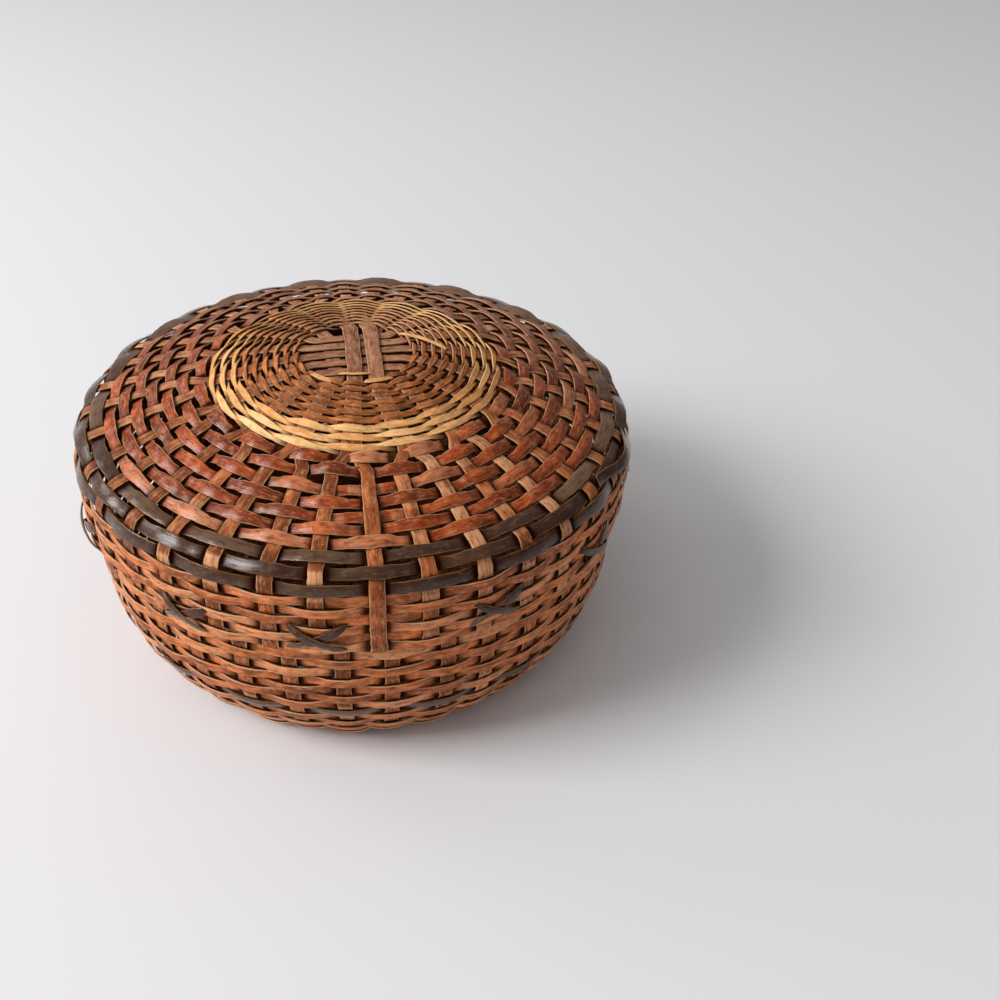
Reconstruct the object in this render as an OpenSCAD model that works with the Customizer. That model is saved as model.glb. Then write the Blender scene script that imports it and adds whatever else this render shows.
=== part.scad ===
// Round splint basket with a deep lift-off lid. In the base and in the lid, nine flat
// stakes are laid crosswise at a hub, run out as eighteen spokes, fork into thirty-six
// and then bend up the wall or down the lid's side. Flat weavers go over and under them
// in closed rows, and pairs of weavers are twined about the spokes round the lid's hub.
// Millimetres, +Z up, origin on the floor under the hub.

/* [Basket] */
// Diameter of the base at the middle of the splints, where the wall starts
base_d = 81.6; // [76:0.2:86]
// Diameter of the flat middle of the base, inside the rows it stands on
base_inner_d = 58; // [54:1:62]
// How far the middle of the base stands up from the floor
base_kick = 1; // [0.6:0.1:2]
// Height of the belly above the floor
belly_z = 30.8; // [26:0.2:34]
// How quickly the wall curves out from the base
wall_curve = 3.2; // [2.4:0.1:3.6]
// How far the neck's rim stays below the inside of the lid's shoulder
rim_gap = 1.5; // [1.2:0.1:6]

/* [Lid] */
// Diameter of the lid's side at the middle of the splints
lid_d = 103.6; // [98:0.2:110]
// Height of the closed basket
total_h = 58; // [56:0.5:64]
// Fall of the dome from the hub to the shoulder
dome_fall = 9.4; // [6:0.2:11]
// How the dome curves: 1 is a cone
dome_curve = 1.2; // [1:0.05:2]
// Width of the rounded shoulder
shoulder_w = 4.3; // [3.5:0.1:5.5]
// Height of the rounded shoulder
shoulder_h = 4.4; // [4:0.2:6]
// How far the lid's side stands out past the basket's belly
lid_overhang = 1.4; // [1:0.1:2]
// Lift of the lid's edge off the row that it rests on
seat_gap = 0.4; // [0.3:0.1:0.8]
// Side clearance between the lid and the neck
lid_clear = 0.5; // [0.3:0.1:1]
// How far the lid is turned on the basket, degrees
lid_turn = 16; // [0:1:19]
// How far the basket is turned, degrees
base_turn = 19; // [0:1:19]

/* [Splints] */
// Thickness of a stake
stake_t = 0.4; // [0.3:0.05:0.5]
// Thickness of a weaver
weaver_t = 0.35; // [0.25:0.05:0.45]
// Clearance between a weaver and the stake it crosses
weave_gap = 0.1; // [0.08:0.02:0.2]
// Space between neighbouring rows
row_gap = 0.3; // [0.2:0.05:0.5]
// Width of a stake at the hub
hub_stake_w = 2.3; // [1.8:0.1:2.5]
// Spacing of the stakes that lie side by side at the hub
hub_pitch = 2.9; // [2.8:0.1:3.2]
// Width of a spoke just before it forks
spoke_w = 3.4; // [2.8:0.1:3.8]
// Width of each half where the spoke forks
fork_w = 2.1; // [1.8:0.1:2.4]
// Width of a stake on the wall
stake_w = 2.8; // [2.2:0.1:3]

/* [Lid rows] */
// Diameter of the open hub
hub_d = 23.6; // [22.6:0.2:25]
// Outer diameter of the tan rows, where the spokes fork
fork_d = 54.6; // [52:0.2:56]
// Width of each tan row with its space
tan_pitch = 2; // [1.8:0.1:2.2]
// Length over which a fork opens
fork_l = 1.6; // [1.4:0.1:2.5]
// Rows round the hub
hub_rows = 5; // [3:1:6]
// Tan rows
tan_rows = 3; // [2:1:4]
// Brown rows between the tan rows and the dark rows
top_rows = 7; // [5:1:8]
// Dark rows over the shoulder
dark_rows = 3; // [2:1:4]
// Width of each dark row with its space
dark_pitch = 2.8; // [2.4:0.1:3]
// Rows down the side, under the dark rows
side_rows = 6; // [4:1:7]

/* [Basket rows] */
// Rows on the inner base, over the spokes
base_inner_rows = 5; // [3:1:6]
// Rows that the basket stands on, over the forked stakes
base_outer_rows = 3; // [2:1:3]
// Rows up the wall
wall_rows = 14; // [10:1:15]
// Which wall row is the dark one, counted from the base
dark_wall_row = 7; // [5:1:9]
// Rows round the neck
neck_rows = 4; // [2:1:5]
// Room at the base's corner, where the stakes bend up
corner_gap = 0.9; // [0.6:0.1:1.5]

/* [X ornaments] */
// Number of X ornaments round the lid
x_count = 12; // [6:6:18]
// Which stake, counted from a fork, carries the first X
x_stake = 2; // [1:1:3]
// Length of each crossing strip
x_l = 10.6; // [8:0.2:12]
// Width of each crossing strip
x_w = 1.9; // [1.4:0.1:2.2]
// Thickness of each crossing strip
x_t = 0.3; // [0.2:0.05:0.4]
// Tilt of each crossing strip, degrees
x_tilt = 18; // [15:1:30]
// Height of an X's middle above the lid's edge
x_rise = 3.6; // [3.2:0.2:6]

/* [Hidden] */
CROSS = 5;
OVER = 4;
SPOKES = 2 * (CROSS + OVER);
STAKES = 2 * SPOKES;
SPOKE_STEP = 360 / SPOKES;
STAKE_STEP = 360 / STAKES;
SHOULDER_STEPS = 4;
DOME_STEPS = 6;
WALL_STEPS = 9;

// Distance between the middles of two crossing splints
layer = (stake_t + weaver_t) / 2 + weave_gap;
// Distance between the middles of two stakes that cross at a hub
hub_layer = stake_t + weave_gap;
// Radius inside which stakes cross each other
hub_flat_r = norm([(OVER - 1) / 2 * hub_pitch, (CROSS - 1) / 2 * hub_pitch])
  + norm([hub_stake_w, hub_stake_w]) / 2;
hub_r = max(hub_d / 2, hub_flat_r + hub_layer);
fork_r = fork_d / 2;
forked_r = fork_r + fork_l;
tan_r = fork_r - tan_rows * tan_pitch;
base_r = base_d / 2;
lid_r = lid_d / 2;
belly_r = lid_r - lid_overhang;
dome_r = lid_r - shoulder_w;
floor_z = layer + weaver_t / 2;
lid_top_z = total_h - hub_layer - stake_t / 2;
dome_edge_z = lid_top_z - dome_fall;
shoulder_z = dome_edge_z - shoulder_h;
lid_edge_z = belly_z + seat_gap;
rim_z = shoulder_z - rim_gap;
stake_end_r = lid_r + stake_w;

// Arc between two crossings at a radius, and the width of the stake there
function crossing_pitch(r, n) = 2 * PI * r / n;
function width_at(r, n) = n == SPOKES
  ? hub_stake_w + (spoke_w - hub_stake_w) * (r - hub_flat_r) / (fork_r - hub_flat_r)
  : fork_w + (stake_w - fork_w) * min(1, (r - forked_r) / (stake_end_r - forked_r));
// Side step of a straight-sided weaver, so that it clears both edges of every stake
function side_step(r, n) =
  let (w = width_at(r, n), p = crossing_pitch(r, n))
  (layer + w * (2 * p - w) / (8 * r)) / (1 - w / p);

neck_r = lid_r - side_step(lid_r, STAKES) - weaver_t - lid_clear - side_step(belly_r, STAKES);
neck_z = belly_z + belly_r - neck_r;

// Profiles of the basket and of the lid, as [radius, height] at the middle of the splints,
// with the hub raised or lowered by a number of layers
function wall_at(t) = [
  belly_r - (belly_r - base_r) * pow(1 - t, wall_curve),
  floor_z + (belly_z - floor_z) * t];
function basket_profile(level) = let (hub_z = floor_z + base_kick) concat(
  [[0, hub_z + level * hub_layer], [hub_flat_r, hub_z + level * hub_layer], [hub_r, hub_z]],
  [[base_inner_d / 2, floor_z]],
  [for (i = [0:WALL_STEPS]) wall_at(i / WALL_STEPS)],
  [[neck_r, neck_z], [neck_r, rim_z]]);
function dome_at(t) = [
  hub_r + (dome_r - hub_r) * t,
  lid_top_z - dome_fall * pow(t, dome_curve)];
function shoulder_at(a) = [
  dome_r + shoulder_w * sin(a),
  shoulder_z + shoulder_h * cos(a)];
function lid_profile(level) = concat(
  [[0, lid_top_z + level * hub_layer], [hub_flat_r, lid_top_z + level * hub_layer]],
  [for (i = [0:DOME_STEPS]) dome_at(i / DOME_STEPS)],
  [for (i = [1:SHOULDER_STEPS]) shoulder_at(90 * i / SHOULDER_STEPS)],
  [[lid_r, lid_edge_z]]);

// Length along a profile up to each of its points, and the point at a length
function lengths(p) = [
  for (i = 0, s = 0; i < len(p); s = s + (i + 1 < len(p) ? norm(p[i + 1] - p[i]) : 0), i = i + 1) s];
function point_at(p, s) = let (l = lengths(p)) [
  lookup(s, [for (i = [0:len(p) - 1]) [l[i], p[i][0]]]),
  lookup(s, [for (i = [0:len(p) - 1]) [l[i], p[i][1]]])];
// Length along a profile at which it reaches a radius, going out from the hub
function length_at_r(p, r) = let (l = lengths(p))
  lookup(r, [for (i = [0:len(p) - 1]) if (i == 0 || p[i][0] > p[i - 1][0]) [p[i][0], l[i]]]);
function unit(v) = v / norm(v);
function outward(v, side) = side * [-v[1], v[0]];

// Outline of a sheet of the given thickness that follows a profile
function corner_normal(p, i) =
  let (a = unit(p[max(i, 1)] - p[max(i, 1) - 1]),
       b = unit(p[min(i + 1, len(p) - 1)] - p[min(i, len(p) - 2)]),
       n = unit(outward(a, 1) + outward(b, 1)))
  n / (n * outward(a, 1));
function sheet(p, t) = concat(
  [for (i = [0:len(p) - 1]) p[i] + corner_normal(p, i) * t / 2],
  [for (i = [len(p) - 1:-1:0]) p[i] - corner_normal(p, i) * t / 2]);

// Plan of one end of a stake: it leaves the hub beside the axis, turns to the spoke's
// angle, widens and forks into two
function turned(p, a) = [p[0] * cos(a) - p[1] * sin(a), p[0] * sin(a) + p[1] * cos(a)];
function prong(a) = [
  for (q = [[forked_r, -fork_w / 2], [stake_end_r, -stake_w / 2],
            [stake_end_r, stake_w / 2], [forked_r, fork_w / 2]]) turned(q, a)];
function stake_end(aside) =
  let (a = SPOKE_STEP * aside / hub_pitch,
       bend = aside == 0 ? [hub_flat_r, 0] : [aside / tan(a), aside],
       mitre = turned([0, hub_stake_w / 2 / cos(a / 2)], a / 2))
  concat([bend - mitre, turned([fork_r, -spoke_w / 2], a)], prong(a - STAKE_STEP / 2),
         [turned([fork_r, 0], a)], prong(a + STAKE_STEP / 2),
         [turned([fork_r, spoke_w / 2], a), bend + mitre]);
module stake(profile, aside) {
  end = stake_end(aside);
  intersection() {
    rotate_extrude($fn = 96) polygon(sheet(profile, stake_t));
    linear_extrude(height = total_h)
      polygon(concat(end, [for (i = [len(end) - 1:-1:0]) [-end[i][0], end[i][1]]]));
  }
}
// Stakes laid side by side across a hub, by their places counted from the hub's middle
module stakes(profile, places, turn) {
  for (k = places) rotate(turn) stake(profile, k * hub_pitch);
}

// Where a row lies: middle of the row, way along the profile, way out, and how far the
// profile bows out of the row's flat width
function row_place(profile, s, w, side) =
  let (c = point_at(profile, s), a = point_at(profile, s - w / 2), b = point_at(profile, s + w / 2))
  [c, unit(b - a), outward(unit(b - a), side), norm(c - (a + b) / 2)];
// Section of a weaver of width w that lies off the stakes' middle, rolled about the row's
// own line and turned to its place round the basket
function weaver_section(place, w, off, roll, a) = [
  for (q = [[-1, -1], [1, -1], [1, 1], [-1, 1]])
    let (v = turned([q[0] * w / 2, off + q[1] * weaver_t / 2], roll),
         p = place[0] + place[1] * v[0] + place[2] * v[1])
    [p[0] * cos(a), p[0] * sin(a), p[1]]];
function holding_angle(r, n) = (width_at(r, n) / 2 + weave_gap) / r * 180 / PI;
// A weaver closed on itself through its sections. Its inner face is folded so that a
// twisted weaver keeps clear of its partner
function reversed(face) = [for (i = [len(face) - 1:-1:0]) face[i]];
module weaver(sections, side) {
  m = len(sections);
  faces = [
    for (i = [0:m - 1], k = [0:3])
      let (a = 4 * i + k, b = 4 * i + (k + 1) % 4,
           d = 4 * ((i + 1) % m) + k, e = 4 * ((i + 1) % m) + (k + 1) % 4)
      each k == 0 ? [[a, b, e], [a, e, d]] : [[a, b, d], [b, e, d]]];
  polyhedron(points = [for (q = sections) each q],
             faces = side > 0 ? faces : [for (f = faces) reversed(f)]);
}
// A plain row: one flat weaver on alternate sides of the stakes that it crosses. A held
// row lies flat along each stake, and the others run straight from one stake to the next
module plain_row(profile, s, w, n, side, parity, held) {
  place = row_place(profile, s, w, side);
  r = place[0][0];
  off = place[3] + (held ? layer : side_step(r, n));
  first = n == SPOKES ? 0 : STAKE_STEP / 2;
  weaver([
    for (i = [0:n - 1], h = held ? [-1, 1] : [0])
      weaver_section(place, w, (i + parity) % 2 == 1 ? off : -off, 0,
                     first + i * 360 / n + h * holding_angle(r, n))], side);
}
// A twined row: a pair of flat weavers, one on each side of every spoke, that change
// sides by half a turn about each other in the space between two spokes
module twined_row(profile, s, w, side) {
  place = row_place(profile, s, w, side);
  hold = holding_angle(place[0][0], SPOKES);
  for (k = [0, 1])
    weaver([
      for (i = [0:SPOKES - 1], h = [[-hold, 0], [hold, 0], [SPOKE_STEP / 2, 90]])
        weaver_section(place, w, layer + place[3], 180 * (i + k) + h[1], i * SPOKE_STEP + h[0])], side);
}
// Middle of row i in a band of rows that shares out a stretch of profile, and its width
function band_middle(from, to, rows, i) = from + (to - from) / rows * (i - 0.5);
function band_width(from, to, rows) = (to - from) / rows - row_gap;

// Stretches of the lid's profile, by length from the hub
lid_line = lid_profile(0);
lid_hub_s = length_at_r(lid_line, hub_r);
lid_tan_s = length_at_r(lid_line, tan_r);
lid_fork_s = length_at_r(lid_line, fork_r);
lid_top_s = length_at_r(lid_line, forked_r);
lid_end_s = lengths(lid_line)[len(lid_line) - 1];
lid_shoulder_s = lid_end_s - (shoulder_z - lid_edge_z);
lid_side_s = lid_shoulder_s + weaver_t;
lid_dark_s = lid_side_s - dark_rows * dark_pitch;

// Stretches of the basket's profile
basket_line = basket_profile(0);
base_hub_s = length_at_r(basket_line, hub_r);
base_fork_s = length_at_r(basket_line, fork_r);
base_forked_s = length_at_r(basket_line, forked_r);
base_end_s = length_at_r(basket_line, base_r);
base_rows_s = base_end_s - corner_gap / 2;
wall_s = base_end_s + corner_gap;
rim_s = lengths(basket_line)[len(basket_line) - 1];
neck_s = rim_s - (rim_z - neck_z);
belly_s = neck_s - norm([belly_r - neck_r, neck_z - belly_z]);

module lid_cross_stakes() {
  color("#8a5a3c") stakes(lid_profile(0), [-2:2], lid_turn);
}
module lid_over_stakes() {
  color("#8f6244") stakes(lid_profile(1), [-0.5, 0.5], lid_turn + 90);
}
module lid_under_stakes() {
  color("#8a5a3c") stakes(lid_profile(-1), [-1.5, 1.5], lid_turn + 90);
}
module lid_hub_row(i) {
  color("#85563c") rotate(lid_turn)
    twined_row(lid_line, band_middle(lid_hub_s, lid_tan_s, hub_rows, i),
               band_width(lid_hub_s, lid_tan_s, hub_rows), 1);
}
module lid_tan_row(i) {
  color("#c79a63") rotate(lid_turn)
    twined_row(lid_line, band_middle(lid_tan_s, lid_fork_s, tan_rows, i),
               band_width(lid_tan_s, lid_fork_s, tan_rows), 1);
}
module lid_top_row(i) {
  color("#7d4528") rotate(lid_turn)
    plain_row(lid_line, band_middle(lid_top_s, lid_dark_s, top_rows, i),
              band_width(lid_top_s, lid_dark_s, top_rows), STAKES, 1, i, false);
}
module lid_dark_row(i) {
  color("#3a3326") rotate(lid_turn)
    plain_row(lid_line, band_middle(lid_dark_s, lid_side_s, dark_rows, i),
              band_width(lid_dark_s, lid_side_s, dark_rows), STAKES, 1, top_rows + i, false);
}
module lid_side_row(i) {
  color("#a06a45") rotate(lid_turn)
    plain_row(lid_line, band_middle(lid_side_s, lid_end_s, side_rows, i),
              band_width(lid_side_s, lid_end_s, side_rows), STAKES, 1, top_rows + dark_rows + i, false);
}
// The crossing strips of the X ornaments, flat against the outside of the side rows
module x_strips(lean, layer_no) {
  x_r = lid_r + side_step(lid_r, STAKES) + weaver_t / 2 + weave_gap;
  for (i = [0:x_count - 1])
    rotate(lid_turn + (x_stake - 0.5) * STAKE_STEP + i * 360 / x_count)
      translate([x_r + (layer_no + 0.5) * x_t + layer_no * weave_gap, 0, lid_edge_z + x_rise])
        rotate([lean * x_tilt, 0, 0])
          cube([x_t, x_l, x_w], center = true);
}
module lid_x_strips() {
  color("#2e2a22") x_strips(1, 0);
}
module lid_x_over_strips() {
  color("#35312a") x_strips(-1, 1);
}
module base_cross_stakes() {
  color("#9a6a48") stakes(basket_profile(0), [-2:2], base_turn);
}
module base_over_stakes() {
  color("#9a6a48") stakes(basket_profile(1), [-0.5, 0.5], base_turn + 90);
}
module base_under_stakes() {
  color("#9a6a48") stakes(basket_profile(-1), [-1.5, 1.5], base_turn + 90);
}
module base_inner_row(i) {
  color("#95633f") rotate(base_turn)
    plain_row(basket_line, band_middle(base_hub_s, base_fork_s, base_inner_rows, i),
              band_width(base_hub_s, base_fork_s, base_inner_rows), SPOKES, -1, i, true);
}
module base_outer_row(i) {
  color("#95633f") rotate(base_turn)
    plain_row(basket_line, band_middle(base_forked_s, base_rows_s, base_outer_rows, i),
              band_width(base_forked_s, base_rows_s, base_outer_rows), STAKES, -1, i, true);
}
module wall_row(i) {
  color(i == dark_wall_row ? "#3a3326" : "#a5714b") rotate(base_turn)
    plain_row(basket_line, band_middle(wall_s, belly_s, wall_rows, i),
              band_width(wall_s, belly_s, wall_rows), STAKES, -1, base_outer_rows + i, false);
}
module neck_row(i) {
  color("#a5714b") rotate(base_turn)
    plain_row(basket_line, band_middle(neck_s, rim_s, neck_rows, i),
              band_width(neck_s, rim_s, neck_rows), STAKES, -1, base_outer_rows + wall_rows + i, false);
}

function numbered(name, count) = [for (i = [1:count]) str(name, "_", i)];

lid_cross_stakes();
lid_over_stakes();
lid_under_stakes();
for (i = [1:hub_rows]) lid_hub_row(i);
for (i = [1:tan_rows]) lid_tan_row(i);
for (i = [1:top_rows]) lid_top_row(i);
for (i = [1:dark_rows]) lid_dark_row(i);
for (i = [1:side_rows]) lid_side_row(i);
lid_x_strips();
lid_x_over_strips();
base_cross_stakes();
base_over_stakes();
base_under_stakes();
for (i = [1:base_inner_rows])
  base_inner_row(i);
for (i = [1:base_outer_rows])
  base_outer_row(i);
for (i = [1:wall_rows]) wall_row(i);
for (i = [1:neck_rows]) neck_row(i);
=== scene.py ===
"""Looks of a small round splint basket with a deep lift-off lid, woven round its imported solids."""

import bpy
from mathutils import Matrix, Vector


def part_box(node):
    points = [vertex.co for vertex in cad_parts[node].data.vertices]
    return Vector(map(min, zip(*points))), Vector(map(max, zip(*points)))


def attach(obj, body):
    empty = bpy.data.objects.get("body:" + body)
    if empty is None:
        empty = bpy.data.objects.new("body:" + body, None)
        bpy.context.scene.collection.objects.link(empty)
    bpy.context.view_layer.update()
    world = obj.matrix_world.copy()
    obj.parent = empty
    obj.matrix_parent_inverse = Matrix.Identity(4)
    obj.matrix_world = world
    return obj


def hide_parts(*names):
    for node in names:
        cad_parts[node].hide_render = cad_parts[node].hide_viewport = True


bl_info = {
    "name": "Lidded Splint Basket",
    "version": (1, 0, 0),
    "blender": (4, 5, 0),
    "location": "View3D > Sidebar > Splint Basket",
    "description": "Weaves a round lidded basket from flat wooden splints and sets it on a plain stage",
    "category": "Add Mesh",
}

import math
import random

import bmesh
import bpy
from bpy.props import FloatProperty, FloatVectorProperty, IntProperty, PointerProperty
from mathutils import Matrix, Vector

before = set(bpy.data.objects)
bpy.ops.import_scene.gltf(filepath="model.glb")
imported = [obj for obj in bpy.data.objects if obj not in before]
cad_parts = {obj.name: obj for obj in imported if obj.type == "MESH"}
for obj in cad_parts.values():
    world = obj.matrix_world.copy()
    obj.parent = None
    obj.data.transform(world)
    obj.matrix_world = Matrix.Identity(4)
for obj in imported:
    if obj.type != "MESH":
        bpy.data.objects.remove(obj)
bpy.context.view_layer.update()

MM = 0.001
SPOKES = 18
STAKES = 36
SPOKE_STEP = math.tau / SPOKES
STAKE_STEP = math.tau / STAKES
HUB_REACH = 9.0 * MM
# Width of a stake where it forks
FORK_WIDTH = 3.3 * MM
# Points on a stake's line for each row that it crosses
STAKE_PARTS = 4
# Points round a splint's section
SECTION_POINTS = 8
CROSSES = 12

# The lid's one loose stake at the front, and the rows beside it that have slid apart along the wall
LOOSE_STAKE = 26
LOOSE_ANGLE = math.radians(270)
LOOSE_SPREAD = math.radians(13)
LOOSE_ROWS = {
    "lid_top_row_1": -0.3 * MM,
    "lid_top_row_2": -0.75 * MM,
    "lid_top_row_3": 0.35 * MM,
    "lid_top_row_4": 0.3 * MM,
}
# Bare spots on the lid's front stakes, by stake and row past the fork
BARE_SPOTS = {(23, 10), (23, 11), (25, 10), (25, 11), (28, 10), (28, 11), (28, 12)}
# Angles where rows have kept their dye, twined rows are palest (partly painted light from the window), and
# stakes are worn bare or least faded
DYED_ANGLE = math.radians(262)
PALE_ANGLE = math.radians(265)
BARE_ANGLE = math.radians(310)
FRESH_ANGLE = math.radians(285)
# Crosses at the front that sit off their places: degrees aside and millimetres up
SLIPPED_CROSSES = {7: (3.5, -0.6), 8: (-1.0, 0.0), 9: (2.5, 1.2)}
# Slivers round the hub: radius and angle of each end, width, sideways bow, height above the weave and tone
SLIVERS = (
    (17.0, 14, 10.4, 46, 0.75, 0.2, 0.75, 0.8), (6.2, 94, 5.4, 274, 0.5, 0.2, 0.5, 0.6),
    (8.8, 258, 8.8, 296, 0.55, 0.5, 0.85, 0.7), (11.0, 233, 11.4, 256, 0.9, 0.4, 0.75, 0.6),
    (11.0, 286, 11.6, 312, 0.9, 0.5, 0.75, 0.5),
)
# The dark end that has sprung loose: degrees where it starts and that it sweeps, and its width
SPRUNG_START = 333
SPRUNG_SWEEP = 24
SPRUNG_WIDTH = 1.9 * MM
SPRUNG_THICKNESS = 0.34 * MM
STRIP_THICKNESS = 0.3 * MM
STRIP_HALF_LENGTH = 5.4 * MM
SLIVER_THICKNESS = 0.24 * MM
# How the narrow rows down the sides are woven
SIDE_MANNER = {"lift": 1.3, "inside": 0.8, "snug": 0.32, "leaf": 0.03}

# Finish of a splint: roughness, colour of the cut edges, share of bare wood, shine, colour of the bare wood,
# and how stained and how light the deep streaks are
PLAIN_FINISH = {
    "rough": 0.5, "cut": "#dcb890", "pale": 0.35, "shine": 0.1, "bare": "#e8b88c", "stain": 0.6, "deep": 0.3,
}
# Each kind of splint by its dye: name and coat, and where it differs from the plain finish
FINISHES = {
    "stake": {"title": "Split ash stake, brown dyed", "coat": 0.1, "cut": "#e2c290", "pale": 0.6},
    "dull": {"title": "Split ash weaver, worn brown", "rough": 0.58, "coat": 0.0},
    "tan": {
        "title": "Split ash weaver, undyed", "coat": 0.05, "cut": "#f0cf98", "pale": 0.8, "shine": 0.2,
        "bare": "#ffd496", "stain": 0.1, "deep": 0.55,
    },
    "brown": {
        "title": "Split ash weaver, red-brown dyed", "rough": 0.4, "coat": 0.4, "pale": 0.5, "shine": 0.05,
    },
    "dark": {
        "title": "Split ash weaver, black-brown dyed", "rough": 0.34, "coat": 0.7, "cut": "#a8804c",
        "pale": 0.15,
    },
    "wall": {"title": "Split ash weaver, orange-brown dyed", "coat": 0.15, "cut": "#f0d0a8", "pale": 0.5},
}

FLOOR_HALF = 3.0
# Lamps: name, share of the main light's power, size and place
LAMPS = (
    ("window", 1.0, (0.5, 0.45), (-0.74, -0.28, 0.64)),
    ("far_window", 0.1, (0.2, 0.3), (-0.82, 0.3, 0.52)),
)


def linear(colour):
    """Linear RGB of an sRGB hex value."""
    parts = [int(colour[i : i + 2], 16) / 255 for i in (1, 3, 5)]
    return tuple(p / 12.92 if p <= 0.04045 else ((p + 0.055) / 1.055) ** 2.4 for p in parts)


def add(tree, kind, settings=None, inputs=None):
    """Adds a node with its settings, and sets or links its inputs by name or number."""
    node = tree.nodes.new(kind)
    for name, value in (settings or {}).items():
        setattr(node, name, value)
    for name, value in (inputs or {}).items():
        socket = node.inputs[name]
        if isinstance(value, bpy.types.Node):
            value = next(s for s in value.outputs if s.enabled)
        if isinstance(value, bpy.types.NodeSocket):
            tree.links.new(value, socket)
        else:
            socket.default_value = value
    return node


def calc(tree, operation, *values):
    """Adds a sum of numbers."""
    return add(tree, "ShaderNodeMath", {"operation": operation}, dict(enumerate(values)))


def vector_calc(tree, operation, *values):
    """Adds a sum of vectors."""
    return add(tree, "ShaderNodeVectorMath", {"operation": operation}, dict(enumerate(values)))


def ranged(tree, value, low, high, least, most):
    """Adds a node that carries a value from one range over to another, and holds it there."""
    span = {"Value": value, "From Min": low, "From Max": high, "To Min": least, "To Max": most}
    return add(tree, "ShaderNodeMapRange", {}, span)


# Colour of the painted shade in recesses and corners
PAINTED_SHADE = linear("#1e0401")
STAIN = linear("#3a0f07")
FADED = linear("#9c6e58")


class SplintSizes(bpy.types.PropertyGroup):
    """Sizes of the splints and how loosely they are woven."""

    stake_thickness: FloatProperty(
        name="Stake Thickness", description="Thickness of a stake", default=0.4 * MM, unit="LENGTH"
    )
    weaver_thickness: FloatProperty(
        name="Weaver Thickness", description="Thickness of a weaver", default=0.34 * MM, unit="LENGTH"
    )
    lift: FloatProperty(
        name="Weave Lift", description="How far a weaver swings out at each stake", default=0.42 * MM,
        unit="LENGTH",
    )
    stake_wave: FloatProperty(
        name="Stake Wave", description="How far a stake gives way to each weaver", default=0.1 * MM,
        unit="LENGTH",
    )
    row_gap: FloatProperty(
        name="Row Gap", description="Space between neighbouring rows", default=0.12 * MM, unit="LENGTH"
    )
    wander: FloatProperty(
        name="Wander", description="How far a splint strays along the wall", default=0.28 * MM, unit="LENGTH"
    )
    ruffle: FloatProperty(
        name="Ruffle", description="How far a splint strays out of the wall", default=0.16 * MM, unit="LENGTH"
    )
    stray: FloatProperty(
        name="Stake Stray", description="How far a stake leaves its even place", default=math.radians(0.9),
        subtype="ANGLE",
    )
    seed: IntProperty(name="Seed", description="Seed of the hand-made unevenness", default=7)


class SplintDyes(bpy.types.PropertyGroup):
    """Colours of the splints."""

    brown: FloatVectorProperty(
        name="Brown", description="Rows on the lid's top", subtype="COLOR", default=linear("#c2561f")
    )
    dull: FloatVectorProperty(
        name="Dull Brown", description="Rows round the hub", subtype="COLOR", default=linear("#dc8448")
    )
    tan: FloatVectorProperty(name="Tan", description="Light rows", subtype="COLOR", default=linear("#fcb066"))
    dark: FloatVectorProperty(
        name="Dark", description="Shoulder rows and ornaments", subtype="COLOR", default=linear("#46280c")
    )
    wall: FloatVectorProperty(
        name="Wall", description="Rows down the sides", subtype="COLOR", default=linear("#ea8244")
    )
    stake: FloatVectorProperty(name="Stake", description="Stakes", subtype="COLOR", default=linear("#c26a36"))


class StageLook(bpy.types.PropertyGroup):
    """The floor, the light and the camera."""

    floor: FloatVectorProperty(
        name="Floor", description="Colour of the floor", subtype="COLOR", default=linear("#e3e3e6")
    )
    key: FloatProperty(name="Key Light", description="Power of the main light", default=9.3, unit="POWER")
    fill: FloatProperty(name="Fill Light", description="Strength of the light all round", default=0.46)
    eye: FloatVectorProperty(
        name="Camera Place", description="Where the camera stands", subtype="XYZ", unit="LENGTH",
        default=(28.24 * MM, -178.19 * MM, 161.04 * MM),
    )
    dip: FloatProperty(
        name="Camera Dip", description="Angle the camera looks down", default=math.radians(37.4),
        subtype="ANGLE",
    )
    roll: FloatProperty(
        name="Camera Roll", description="Turn of the camera about its sight line", default=math.radians(-3.1),
        subtype="ANGLE",
    )
    lens: FloatProperty(name="Lens", description="Focal length on a 36 mm frame", default=39.6, unit="CAMERA")


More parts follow.
